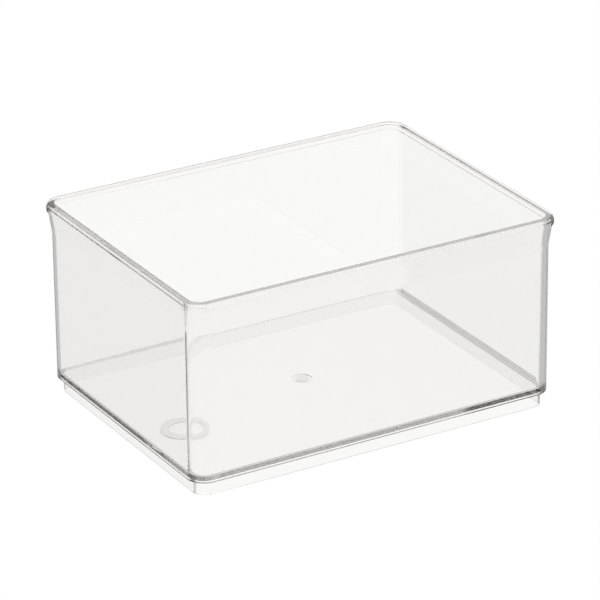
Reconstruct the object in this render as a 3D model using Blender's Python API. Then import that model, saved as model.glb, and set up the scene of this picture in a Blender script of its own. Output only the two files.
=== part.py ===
"""Clear stacking storage bin, moulded in one piece: floor, walls, rim and foot ring.

The bin is one outline, a rectangle with round corners, carried along one wall section. A point of the
section has an inset, measured inwards from the rim's outer edge, and a height above the table. The origin
is on the table under the middle of the bin, with +X along the long side and +Z up.
"""

import math

import bmesh
import bpy

# Overall sizes, in metres
rim_length = 0.203
rim_width = 0.152
bin_height = 0.0998
rim_corner_radius = 0.0102
least_corner_radius = 0.0006

# How much rounder the corners of the walls and the foot are than ones drawn round the rim's own centres
wall_corner_ease = 0.0013
inside_corner_ease = 0.00175
foot_corner_ease = 0.0018
foot_inside_corner_ease = 0.0009

# Walls and floor
wall_face_inset = 0.00205
wall_inside_inset = 0.00481
wall_inside_low_inset = 0.0050
flare_height = 0.0136
floor_thickness = 0.0023
floor_fillet = 0.0019
bottom_edge_radius = 0.0004

# Rim: a lip with a nearly level underside and an upright edge, a small shoulder and a level land on top
lip_height = 0.00379
lip_edge_height = 0.00203
lip_edge_radius = 0.00045
shoulder_inset = 0.00073
shoulder_rise = 0.00041
shoulder_radius = 0.0003
shoulder_root_radius = 0.00033
land_edge_radius = 0.0004
mouth_inset = 0.00425
mouth_edge_radius = 0.00033

# Under the lip the wall is thicker and tapers in to its plain face
neck_inset = 0.00085
neck_depth = 0.00393
neck_radius = 0.00175
taper_depth = 0.0155
taper_radius = 0.0160

# Foot ring: the skirt under the floor that drops inside the rim of a bin below
foot_height = 0.0076
foot_inset = 0.0048
foot_thickness = 0.0023
foot_lean = 0.00015
foot_taper = 0.00055
foot_edge_radius = 0.0004
foot_root_radius = 0.0003
ledge_root_radius = 0.0003

# Gate mark: a shallow round recess in the middle of the floor, with the moulding pip left in it
gate_radius = 0.0050
gate_depth = 0.0004
gate_pip_radius = 0.0031
gate_pip_height = 0.00025

# Plain raised ring on the floor near one corner
ring_outer_radius = 0.0115
ring_inner_radius = 0.0071
ring_height = 0.0003
ring_from_end = 0.0266
ring_from_side = 0.0555

# How far a cutter or an added form runs past the face that it meets
overrun = 0.0010

# Heights this close count as level
level_tolerance = 0.00001

# Counts of straight pieces in the arcs
corner_segments = 10
fillet_segments = 4
round_segments = 48


def remove_everything():
    for item in list(bpy.data.objects):
        bpy.data.objects.remove(item, do_unlink=True)


def clear_plastic():
    material = bpy.data.materials.new("clear_plastic")
    material.use_nodes = True
    shader = material.node_tree.nodes["Principled BSDF"]
    shader.inputs["Base Color"].default_value = (0.95, 0.95, 0.945, 1.0)
    shader.inputs["Roughness"].default_value = 0.03
    shader.inputs["Metallic"].default_value = 0.0
    shader.inputs["IOR"].default_value = 1.57
    shader.inputs["Transmission Weight"].default_value = 1.0
    return material


def corner_ease(inset, height):
    """What the corner radius gains here: nothing above the neck, its full size under the taper."""
    neck = bin_height - neck_depth
    plain_wall = bin_height - taper_depth
    if height > neck:
        return 0.0
    share = min(1.0, (neck - height) / (neck - plain_wall))
    if inset < (wall_face_inset + wall_inside_inset) / 2:
        return wall_corner_ease * share
    if height > foot_height + level_tolerance:
        return inside_corner_ease * share
    if inset < foot_inset + foot_thickness / 2:
        return foot_corner_ease
    return foot_inside_corner_ease


def outline(inset, height):
    """Points once round the bin, at this inset from the rim's outer edge."""
    radius = max(rim_corner_radius - inset + corner_ease(inset, height), least_corner_radius)
    reach_x = rim_length / 2 - inset - radius
    reach_y = rim_width / 2 - inset - radius
    points = []
    for quarter, (side_x, side_y) in enumerate(((1, 1), (-1, 1), (-1, -1), (1, -1))):
        for step in range(corner_segments + 1):
            angle = (quarter + step / corner_segments) * math.pi / 2
            x = side_x * reach_x + radius * math.cos(angle)
            y = side_y * reach_y + radius * math.sin(angle)
            points.append((x, y, height))
    return points


def direction(start, end):
    """Unit vector from one point of the section to another, and the distance."""
    across, up = end[0] - start[0], end[1] - start[1]
    length = math.hypot(across, up)
    return (across / length, up / length), length


def rounded_corner(before, corner, after, radius):
    """Points of the arc that rounds one corner of the section, kept to half of each side."""
    back, back_length = direction(corner, before)
    ahead, ahead_length = direction(corner, after)
    half_angle = math.acos(back[0] * ahead[0] + back[1] * ahead[1]) / 2
    tangent = min(radius / math.tan(half_angle), back_length / 2, ahead_length / 2)
    start = (corner[0] + back[0] * tangent, corner[1] + back[1] * tangent)
    end = (corner[0] + ahead[0] * tangent, corner[1] + ahead[1] * tangent)
    inward, _ = direction(corner, ((start[0] + end[0]) / 2, (start[1] + end[1]) / 2))
    reach = tangent / math.cos(half_angle)
    centre = (corner[0] + inward[0] * reach, corner[1] + inward[1] * reach)
    arc_radius = math.dist(centre, start)
    first = math.atan2(start[1] - centre[1], start[0] - centre[0])
    turn = math.remainder(math.atan2(end[1] - centre[1], end[0] - centre[0]) - first, 2 * math.pi)
    points = []
    for step in range(fillet_segments + 1):
        angle = first + turn * step / fillet_segments
        points.append((centre[0] + arc_radius * math.cos(angle), centre[1] + arc_radius * math.sin(angle)))
    return points


def wall_section():
    """The section from under the floor, round the foot, up the outside, over the rim and down inside."""
    foot_inside = foot_inset + foot_thickness
    lip_bottom = bin_height - lip_height
    lip_top = lip_bottom + lip_edge_height
    floor_top = foot_height + floor_thickness
    corners = [
        (foot_inside, foot_height, foot_root_radius),
        (foot_inside - foot_taper, 0.0, foot_edge_radius),
        (foot_inset + foot_lean, 0.0, foot_edge_radius),
        (foot_inset, foot_height, ledge_root_radius),
        (wall_face_inset, foot_height, bottom_edge_radius),
        (wall_face_inset, bin_height - taper_depth, taper_radius),
        (neck_inset, bin_height - neck_depth, neck_radius),
        (0.0, lip_bottom, lip_edge_radius),
        (0.0, lip_top, shoulder_radius),
        (shoulder_inset, lip_top + shoulder_rise, shoulder_root_radius),
        (shoulder_inset, bin_height, land_edge_radius),
        (mouth_inset, bin_height, mouth_edge_radius),
        (wall_inside_inset, bin_height - flare_height, flare_height),
        (wall_inside_low_inset, floor_top, floor_fillet),
    ]
    under_floor = (foot_inside + foot_thickness, foot_height)
    on_floor = (wall_inside_low_inset + 2 * floor_fillet, floor_top)
    places = [under_floor] + [corner[:2] for corner in corners] + [on_floor]
    section = []
    for index, corner in enumerate(corners):
        section += rounded_corner(places[index], places[index + 1], places[index + 2], corner[2])
    return section


def moulded_shell(material):
    """The underside's outline, extruded from each point of the section to the next, up to the floor's top."""
    section = wall_section()
    shell = bmesh.new()
    underside = [shell.verts.new(point) for point in outline(*section[0])]
    cap = shell.faces.new(underside)
    for inset, height in section[1:]:
        cap = bmesh.ops.extrude_discrete_faces(shell, faces=[cap])["faces"][0]
        for vert, point in zip(cap.verts, outline(inset, height)):
            vert.co = point
    shell.faces.new(underside)
    bmesh.ops.recalc_face_normals(shell, faces=shell.faces)
    mesh = bpy.data.meshes.new("bin_body")
    shell.to_mesh(mesh)
    shell.free()
    mesh.materials.append(material)
    body = bpy.data.objects.new("bin_body", mesh)
    bpy.context.scene.collection.objects.link(body)
    return body


def cylinder(name, radius, bottom, top, place, material):
    """An upright cylinder that only serves a Boolean, so it shows as wires and isn't rendered."""
    bpy.ops.mesh.primitive_cylinder_add(
        vertices=round_segments, radius=radius, depth=top - bottom, location=(*place, (bottom + top) / 2)
    )
    tool = bpy.context.object
    tool.name = name
    tool.data.materials.append(material)
    tool.hide_render = True
    tool.display_type = "WIRE"
    return tool


def combine(target, tool, operation):
    step = target.modifiers.new(tool.name, "BOOLEAN")
    step.operation = operation
    step.solver = "EXACT"
    step.object = tool


def add_gate_mark(body, floor_top, material):
    middle = (0.0, 0.0)
    recess_floor = floor_top - gate_depth
    pip_top = recess_floor + gate_pip_height
    recess = cylinder("gate_recess", gate_radius, recess_floor, floor_top + overrun, middle, material)
    pip = cylinder("gate_pip", gate_pip_radius, recess_floor - overrun, pip_top, middle, material)
    combine(body, recess, "DIFFERENCE")
    combine(body, pip, "UNION")


def add_floor_ring(body, floor_top, material):
    place = (ring_from_end - rim_length / 2, ring_from_side - rim_width / 2)
    bottom = floor_top - overrun
    top = floor_top + ring_height
    ring = cylinder("floor_ring", ring_outer_radius, bottom, top, place, material)
    hole = cylinder("floor_ring_hole", ring_inner_radius, bottom - overrun, top + overrun, place, material)
    combine(ring, hole, "DIFFERENCE")
    combine(body, ring, "UNION")


def main():
    remove_everything()
    material = clear_plastic()
    body = moulded_shell(material)
    floor_top = foot_height + floor_thickness
    add_gate_mark(body, floor_top, material)
    add_floor_ring(body, floor_top, material)


main()
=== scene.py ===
import math

import bpy
from mathutils import Matrix, Vector


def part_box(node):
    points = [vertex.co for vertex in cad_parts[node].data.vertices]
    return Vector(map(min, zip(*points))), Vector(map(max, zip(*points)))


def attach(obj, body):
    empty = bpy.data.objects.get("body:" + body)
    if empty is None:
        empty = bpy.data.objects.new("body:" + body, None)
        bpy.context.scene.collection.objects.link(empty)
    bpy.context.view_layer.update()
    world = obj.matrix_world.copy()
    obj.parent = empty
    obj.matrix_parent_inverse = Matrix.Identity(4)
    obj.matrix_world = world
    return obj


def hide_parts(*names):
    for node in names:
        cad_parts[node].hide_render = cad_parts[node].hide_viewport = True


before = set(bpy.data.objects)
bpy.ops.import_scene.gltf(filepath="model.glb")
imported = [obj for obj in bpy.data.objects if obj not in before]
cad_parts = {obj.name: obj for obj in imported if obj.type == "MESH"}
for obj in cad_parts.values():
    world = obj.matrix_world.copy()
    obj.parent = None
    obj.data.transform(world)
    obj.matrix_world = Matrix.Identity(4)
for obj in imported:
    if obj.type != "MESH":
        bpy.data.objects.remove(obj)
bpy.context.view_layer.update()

mm = 0.001


# small tools

class Wire:
    # one output of a node; + - * and comparisons between wires and numbers add Math nodes
    def __init__(self, tree, socket):
        self.tree = tree
        self.socket = socket

    def calc(self, operation, other=None, flipped=False):
        node = self.tree.nodes.new("ShaderNodeMath")
        node.operation = operation
        values = [self] if other is None else [self, other]
        if flipped:
            values.reverse()
        for place, value in enumerate(values):
            connect(self.tree, value, node.inputs[place])
        return Wire(self.tree, node.outputs[0])

    def __add__(self, other):
        return self.calc("ADD", other)

    __radd__ = __add__

    def __sub__(self, other):
        return self.calc("SUBTRACT", other)

    def __rsub__(self, other):
        return self.calc("SUBTRACT", other, flipped=True)

    def __mul__(self, other):
        return self.calc("MULTIPLY", other)

    __rmul__ = __mul__

    def __lt__(self, other):
        return self.calc("LESS_THAN", other)

    def __gt__(self, other):
        return self.calc("GREATER_THAN", other)

    def sqrt(self):
        return self.calc("SQRT")


def connect(tree, value, socket):
    if isinstance(value, Wire):
        tree.links.new(value.socket, socket)
    else:
        socket.default_value = value


class Finish:
    # a node material under construction
    def __init__(self, name):
        self.material = bpy.data.materials.new(name)
        self.material.use_nodes = True
        self.tree = self.material.node_tree
        self.tree.nodes.clear()

    def node(self, kind, settings, sockets, output=0):
        made = self.tree.nodes.new(kind)
        for key, value in settings.items():
            setattr(made, key, value)
        for key, value in sockets.items():
            connect(self.tree, value, made.inputs[key])
        return Wire(self.tree, made.outputs[output])


def pickNone():
    # leave edit mode and let go of everything, the frame's own nodes too
    if bpy.context.object and bpy.context.object.mode != "OBJECT":
        bpy.ops.object.mode_set(mode="OBJECT")
    bpy.ops.object.select_all(action="DESELECT")


def settle(piece):
    # the piece's place goes into its mesh
    pickNone()
    piece.select_set(True)
    bpy.context.view_layer.objects.active = piece
    bpy.ops.object.transform_apply(location=True, rotation=True, scale=True)


# camera, set from the rim, walls and foot in the photograph

cameraSet = {
    "azimuth": -30.145,      # degrees round from straight ahead, to the left
    "elevation": 24.098,     # degrees above level
    "roll": -0.625,
    "distance": 2.0431,      # from the middle of the bin, m
    "slide": (0.09 * mm, 2.19 * mm),
    "aimHeight": 49.175 * mm,
    "focalPixels": 4205.3,
    "imagePixels": 600,
    "sensor": 36,
}


def addCamera():
    turn, rise = math.radians(cameraSet["azimuth"]), math.radians(cameraSet["elevation"])
    back = Vector((math.sin(turn) * math.cos(rise), -math.cos(turn) * math.cos(rise), math.sin(rise)))
    right = Vector((math.cos(turn), math.sin(turn), 0))
    up = back.cross(right)
    slideRight, slideUp = cameraSet["slide"]
    place = back * cameraSet["distance"] + right * slideRight + up * slideUp
    place.z += cameraSet["aimHeight"]
    lean = Matrix.Rotation(math.radians(cameraSet["roll"]), 3, back)
    frameOf = Matrix((lean @ right, lean @ up, back)).transposed()
    data = bpy.data.cameras.new("camera")
    data.sensor_width = cameraSet["sensor"]
    data.lens = cameraSet["focalPixels"] / cameraSet["imagePixels"] * cameraSet["sensor"]
    camera = bpy.data.objects.new("camera", data)
    camera.matrix_world = Matrix.Translation(place) @ frameOf.to_4x4()
    bpy.context.scene.collection.objects.link(camera)
    bpy.context.scene.camera = camera


addCamera()
print("camera placed")


# the bin's shell

shell = {
    "rimCorner": 10.2 * mm,        # radius of the rim's corners, seen from above
    "cornerSegments": 20,
    "arcSegments": 7,
    "wallCornerEase": 1.3 * mm,    # what the corners under the rim gain in radius: the walls outside,
    "insideCornerEase": 1.75 * mm, # the walls inside, the foot outside and the foot inside
    "footCornerEase": 1.8 * mm,
    "footInsideEase": 0.9 * mm,
    "easeReach": 0.5 * mm,         # points this far past the corner's centre still belong to the corner
    "wallFace": 2.05 * mm,         # insets are measured from the rim's outer edge
    "mouth": 4.25 * mm,
    "wallInside": 4.81 * mm,
    "wallInsideLow": 5.0 * mm,
    "flareHeight": 13.6 * mm,
    "floor": 2.3 * mm,
    "floorFillet": 1.9 * mm,
    "bottomEdge": 0.4 * mm,
    "lipHeight": 3.79 * mm,
    "lipEdge": 2.03 * mm,          # the upright edge of the lip
    "lipRound": 0.45 * mm,
    "shoulder": 0.73 * mm,         # over the edge a shoulder slopes in, and a short face goes up to the land
    "shoulderRise": 0.41 * mm,
    "shoulderRound": 0.3 * mm,
    "shoulderRoot": 0.33 * mm,
    "neck": 0.85 * mm,             # under the lip, from where the wall tapers in
    "neckDepth": 3.93 * mm,
    "neckRound": 1.75 * mm,
    "taperDepth": 15.5 * mm,
    "taperRound": 16.0 * mm,
    "landRound": 0.4 * mm,
    "mouthRound": 0.33 * mm,
    "foot": 7.6 * mm,              # height of the foot ring
    "footWall": 2.3 * mm,
    "footLean": 0.15 * mm,         # of the foot's outside, and the taper of its inside
    "footTaper": 0.55 * mm,
    "footFace": 4.8 * mm,
    "footRound": 0.4 * mm,
    "footRoot": 0.3 * mm,
    "ledgeRoot": 0.3 * mm,
    "levelWithin": 0.01 * mm,      # heights this close are one level
    "smoothUnder": 35,             # degrees between faces that still shade as one round
    "flatWeight": 100,
}


def roundCorner(before, corner, after, radius):
    # the points of an arc that rounds one corner of the section
    before, corner, after = Vector(before), Vector(corner), Vector(after)
    back, ahead = before - corner, after - corner
    half = back.angle(ahead) / 2
    tangent = min(radius / math.tan(half), back.length / 2, ahead.length / 2)
    start = corner + back.normalized() * tangent
    end = corner + ahead.normalized() * tangent
    inward = (start + end) / 2 - corner
    centre = corner + inward.normalized() * (tangent / math.cos(half))
    spoke, lastSpoke = start - centre, end - centre
    turn = spoke.angle_signed(lastSpoke)
    points = []
    for step in range(shell["arcSegments"] + 1):
        points.append(centre + Matrix.Rotation(-turn * step / shell["arcSegments"], 2) @ spoke)
    return points


def rimAndWall(height):
    # (inset from the rim's outer edge, height), from under the floor round the outside to the floor's top
    s = shell
    footInside = s["footFace"] + s["footWall"]
    lipBottom = height - s["lipHeight"]
    edgeTop = lipBottom + s["lipEdge"]
    floorTop = s["foot"] + s["floor"]
    corners = [
        (footInside, s["foot"], s["footRoot"]),
        (footInside - s["footTaper"], 0, s["footRound"]),
        (s["footFace"] + s["footLean"], 0, s["footRound"]),
        (s["footFace"], s["foot"], s["ledgeRoot"]),
        (s["wallFace"], s["foot"], s["bottomEdge"]),
        (s["wallFace"], height - s["taperDepth"], s["taperRound"]),
        (s["neck"], height - s["neckDepth"], s["neckRound"]),
        (0, lipBottom, s["lipRound"]),
        (0, edgeTop, s["shoulderRound"]),
        (s["shoulder"], edgeTop + s["shoulderRise"], s["shoulderRoot"]),
        (s["shoulder"], height, s["landRound"]),
        (s["mouth"], height, s["mouthRound"]),
        (s["wallInside"], height - s["flareHeight"], s["flareHeight"]),
        (s["wallInsideLow"], floorTop, s["floorFillet"]),
    ]
    ends = [(footInside + s["footWall"], s["foot"]), (s["wallInsideLow"] + 2 * s["floorFillet"], floorTop)]
    places = [ends[0]] + [corner[:2] for corner in corners] + [ends[1]]
    arcs = [roundCorner(*places[n:n + 3], corner[2]) for n, corner in enumerate(corners)]
    lip = 7                        # the arc under the rim's outer edge
    under = [point for arc in arcs[:lip + 1] for point in arc]
    over = [point for arc in arcs[lip + 1:] for point in arc]
    return list(reversed(under)), over


def insetAlong(piece, points, sign):
    # the cap that faces up (1) or down (-1) is inset to each next point of the section
    capSlope = 0.9
    bpy.ops.object.mode_set(mode="OBJECT")
    for face in piece.data.polygons:
        face.select = face.normal.z * sign > capSlope
    bpy.ops.object.mode_set(mode="EDIT")
    for here, ahead in zip(points, points[1:]):
        bpy.ops.mesh.inset(thickness=max(ahead.x - here.x, 0), depth=(ahead.y - here.y) * sign)


def makeShell():
    low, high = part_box("bin_body")
    under, over = rimAndWall(high.z)
    edgeLow, edgeHigh = under[0].y, over[0].y
    pickNone()
    middle = (low + high) / 2
    middle.z = (edgeLow + edgeHigh) / 2
    bpy.ops.mesh.primitive_cube_add(size=1, location=middle)
    piece = bpy.context.object
    piece.name = "clear_bin"
    piece.scale = (high.x - low.x, high.y - low.y, edgeHigh - edgeLow)
    settle(piece)
    bpy.ops.object.mode_set(mode="EDIT")
    bpy.ops.mesh.select_mode(type="EDGE")
    bpy.ops.mesh.select_all(action="DESELECT")
    bpy.ops.object.mode_set(mode="OBJECT")
    for edge in piece.data.edges:
        a, b = (piece.data.vertices[n].co for n in edge.vertices)
        edge.select = abs(a.z - b.z) > (edgeHigh - edgeLow) / 2
    bpy.ops.object.mode_set(mode="EDIT")
    bpy.ops.mesh.bevel(offset=shell["rimCorner"], segments=shell["cornerSegments"], affect="EDGES")
    bpy.ops.mesh.select_mode(type="FACE")
    bpy.ops.mesh.select_all(action="DESELECT")
    insetAlong(piece, over, 1)
    bpy.ops.mesh.select_all(action="DESELECT")
    insetAlong(piece, under, -1)
    pickNone()
    return piece


def easeCorners(piece):
    # the walls and the foot are rounder at the corners than the rim
    s = shell
    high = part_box("bin_body")[1]
    neck, wall = high.z - s["neckDepth"], high.z - s["taperDepth"]
    for point in piece.data.vertices:
        fromEdge = Vector((abs(point.co.x) - high.x, abs(point.co.y) - high.y))
        fromCentre = fromEdge + Vector((1, 1)) * s["rimCorner"]
        if min(fromCentre) < -s["easeReach"] or point.co.z > neck:
            continue
        inset = s["rimCorner"] - fromCentre.length
        if inset < (s["wallFace"] + s["wallInside"]) / 2:
            ease = s["wallCornerEase"]
        elif point.co.z > s["foot"] + s["levelWithin"]:
            ease = s["insideCornerEase"]
        elif inset < s["footFace"] + s["footWall"] / 2:
            ease = s["footCornerEase"]
        else:
            ease = s["footInsideEase"]
        ease *= min(1, (neck - point.co.z) / (neck - wall))
        shift = (fromCentre.normalized() - Vector((1, 1))) * ease
        point.co.x += shift.x * math.copysign(1, point.co.x)
        point.co.y += shift.y * math.copysign(1, point.co.y)


clearBin = makeShell()
easeCorners(clearBin)
print("shell modelled:", len(clearBin.data.vertices), "points")


# marks that the mould leaves on the floor

floorMarks = {
    "gateRadius": 5.0 * mm,        # round recess where the plastic was fed in, in the middle of the floor
    "gateDepth": 0.4 * mm,
    "pipRadius": 3.1 * mm,         # what stands in the recess
    "pipHeight": 0.25 * mm,
    "ringOuter": 11.5 * mm,        # plain raised ring near one corner
    "ringInner": 7.1 * mm,
    "ringHeight": 0.3 * mm,
    "ringFromEnd": 26.6 * mm,
    "ringFromSide": 55.5 * mm,
    "sides": 96,
    "overrun": 1.0 * mm,
}


def addRound(radius, bottom, top, place):
    pickNone()
    middle = (place[0], place[1], (bottom + top) / 2)
    sides = floorMarks["sides"]
    bpy.ops.mesh.primitive_cylinder_add(vertices=sides, radius=radius, depth=top - bottom, location=middle)
    settle(bpy.context.object)
    return bpy.context.object


def combine(piece, tool, operation):
    step = piece.modifiers.new(operation.lower(), "BOOLEAN")
    step.operation = operation
    step.solver = "EXACT"
    step.object = tool
    pickNone()
    bpy.context.view_layer.objects.active = piece
    bpy.ops.object.modifier_apply(modifier=step.name)
    bpy.data.objects.remove(tool, do_unlink=True)


def markFloor(piece):
    m = floorMarks
    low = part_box("bin_body")[0]
    floorTop = shell["foot"] + shell["floor"]
    recessFloor = floorTop - m["gateDepth"]
    recess = addRound(m["gateRadius"], recessFloor, floorTop + m["overrun"], (0, 0))
    combine(piece, recess, "DIFFERENCE")
    pip = addRound(m["pipRadius"], recessFloor - m["overrun"], recessFloor + m["pipHeight"], (0, 0))
    combine(piece, pip, "UNION")
    place = (low.x + m["ringFromEnd"], low.y + m["ringFromSide"])
    ring = addRound(m["ringOuter"], floorTop - m["overrun"], floorTop + m["ringHeight"], place)
    hole = addRound(m["ringInner"], floorTop - 2 * m["overrun"], floorTop + 2 * m["overrun"], place)
    combine(ring, hole, "DIFFERENCE")
    combine(piece, ring, "UNION")


markFloor(clearBin)
print("gate mark and ring added")


def smoothAndWeigh(piece):
    # round faces shade smooth, and wide flat ones stay optically flat
    pickNone()
    piece.select_set(True)
    bpy.context.view_layer.objects.active = piece
    bpy.ops.object.shade_smooth_by_angle(angle=math.radians(shell["smoothUnder"]))
    weighted = piece.modifiers.new("flat walls", "WEIGHTED_NORMAL")
    weighted.weight = shell["flatWeight"]
    weighted.keep_sharp = True
    bpy.ops.object.modifier_apply(modifier=weighted.name)


smoothAndWeigh(clearBin)


# finishes

plasticLook = {
    "colour": (1, 0.997, 0.993, 1),
    "ior": 1.57,
    "wallRoughness": 0.03,
    "floorRoughness": 0.08,        # the floor, the foot and the corners are polished less
    "cornerReach": 12 * mm,
    "aboveFloor": 0.5 * mm,        # where the walls' finish starts
    "roughnessSwing": 0.02,
    "matt": 0.25,                  # the ring's face and what stands in the gate mark
    "markLevel": 0.05 * mm,        # how far over and under a mark's face its duller finish goes
    "rippleSize": 13 * mm,         # slow ripples that the mould leaves
    "rippleDepth": 0.012 * mm,
    "rippleDetail": 2.0,
    "absorbed": (0.94, 0.935, 0.93, 1),
    "density": 65.0,
}


def onMark(x, y, z, centre, inner, outer, level):
    # 1 on a raised flat mark of the floor, 0 elsewhere
    awayX, awayY = x - centre[0], y - centre[1]
    away = (awayX * awayX + awayY * awayY).sqrt()
    near = plasticLook["markLevel"]
    return (away > inner) * (away < outer) * (z > level - near) * (z < level + near)


def clearPlastic():
    look, m = plasticLook, floorMarks
    low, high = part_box("bin_body")
    finish = Finish("clear plastic")
    place = finish.node("ShaderNodeTexCoord", {}, {}, output="Object")
    x, y, z = (finish.node("ShaderNodeSeparateXYZ", {}, {"Vector": place}, output=axis) for axis in "XYZ")
    floorTop = shell["foot"] + shell["floor"]
    ringCentre = (low.x + m["ringFromEnd"], low.y + m["ringFromSide"])
    pipTop = floorTop - m["gateDepth"] + m["pipHeight"]
    matt = onMark(x, y, z, ringCentre, m["ringInner"], m["ringOuter"], floorTop + m["ringHeight"])
    matt = matt + onMark(x, y, z, (0, 0), -1, m["pipRadius"], pipTop)
    cornerX, cornerY = high.x - look["cornerReach"], high.y - look["cornerReach"]
    plain = (z > floorTop + look["aboveFloor"]) * (1 - (x * x > cornerX ** 2) * (y * y > cornerY ** 2))
    roughness = look["floorRoughness"] + plain * (look["wallRoughness"] - look["floorRoughness"])
    ripple = finish.node("ShaderNodeTexNoise", {}, {
        "Vector": place,
        "Scale": 1 / look["rippleSize"],
        "Detail": look["rippleDetail"],
    })
    relief = finish.node("ShaderNodeBump", {}, {"Height": ripple, "Distance": look["rippleDepth"]})
    skin = finish.node("ShaderNodeBsdfPrincipled", {}, {
        "Base Color": look["colour"],
        "Roughness": roughness + (ripple - 0.5) * look["roughnessSwing"] + matt * look["matt"],
        "IOR": look["ior"],
        "Transmission Weight": 1.0,
        "Normal": relief,
    })
    absorbing = {"Color": look["absorbed"], "Density": look["density"]}
    body = finish.node("ShaderNodeVolumeAbsorption", {}, absorbing)
    output = finish.tree.nodes.new("ShaderNodeOutputMaterial")
    connect(finish.tree, skin, output.inputs["Surface"])
    connect(finish.tree, body, output.inputs["Volume"])
    return finish.material


clearBin.data.materials.clear()
clearBin.data.materials.append(clearPlastic())
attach(clearBin, "root")
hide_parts("bin_body")
print("plastic finished")


# floor and light

studio = {
    "floorSize": 3.0,
    "floorDrop": 0.4 * mm,         # the foot stands this far over it
    "mirroredFloor": 0.52,         # how bright the floor is in what the plastic mirrors once
    "floorColour": (1, 1, 1, 1),
    "wallColour": (0.9, 0.9, 0.9, 1),
    "softboxPlace": (0, 0, 1.4),
    "softboxSize": (1.2, 1.2),
    "softboxWatts": 4,
    "bounces": 64,                 # enough for light that runs along inside the clear walls
}


def addFloor():
    pickNone()
    bpy.ops.mesh.primitive_plane_add(size=studio["floorSize"], location=(0, 0, -studio["floorDrop"]))
    floor = bpy.context.object
    floor.name = "studio_floor"
    settle(floor)
    finish = Finish("pale floor")
    mirrored = finish.node("ShaderNodeLightPath", {}, {}, output="Glossy Depth")
    mirroredOnce = (mirrored > 0.5) * (mirrored < 1.5)
    glow = 1 - mirroredOnce * (1 - studio["mirroredFloor"])
    skin = finish.node("ShaderNodeEmission", {}, {"Color": studio["floorColour"], "Strength": glow})
    output = finish.tree.nodes.new("ShaderNodeOutputMaterial")
    connect(finish.tree, skin, output.inputs["Surface"])
    floor.data.materials.append(finish.material)


def addSoftbox(name, place, aim, size, watts):
    data = bpy.data.lights.new(name, "AREA")
    data.shape = "RECTANGLE"
    data.size, data.size_y = size
    data.energy = watts
    lamp = bpy.data.objects.new(name, data)
    toAim = Vector(aim) - Vector(place)
    lamp.matrix_world = Matrix.Translation(place) @ toAim.to_track_quat("-Z", "Y").to_matrix().to_4x4()
    bpy.context.scene.collection.objects.link(lamp)


def lightRoom():
    world = bpy.data.worlds.new("room")
    world.use_nodes = True
    world.node_tree.nodes["Background"].inputs["Color"].default_value = studio["wallColour"]
    bpy.context.scene.world = world
    addSoftbox("overhead", studio["softboxPlace"], (0, 0, 0), studio["softboxSize"], studio["softboxWatts"])
    bpy.context.scene.view_settings.view_transform = "Standard"
    cycles = bpy.context.scene.cycles
    cycles.max_bounces = studio["bounces"]
    cycles.transmission_bounces = studio["bounces"]
    cycles.glossy_bounces = studio["bounces"]


addFloor()
lightRoom()
print("floor and light set")
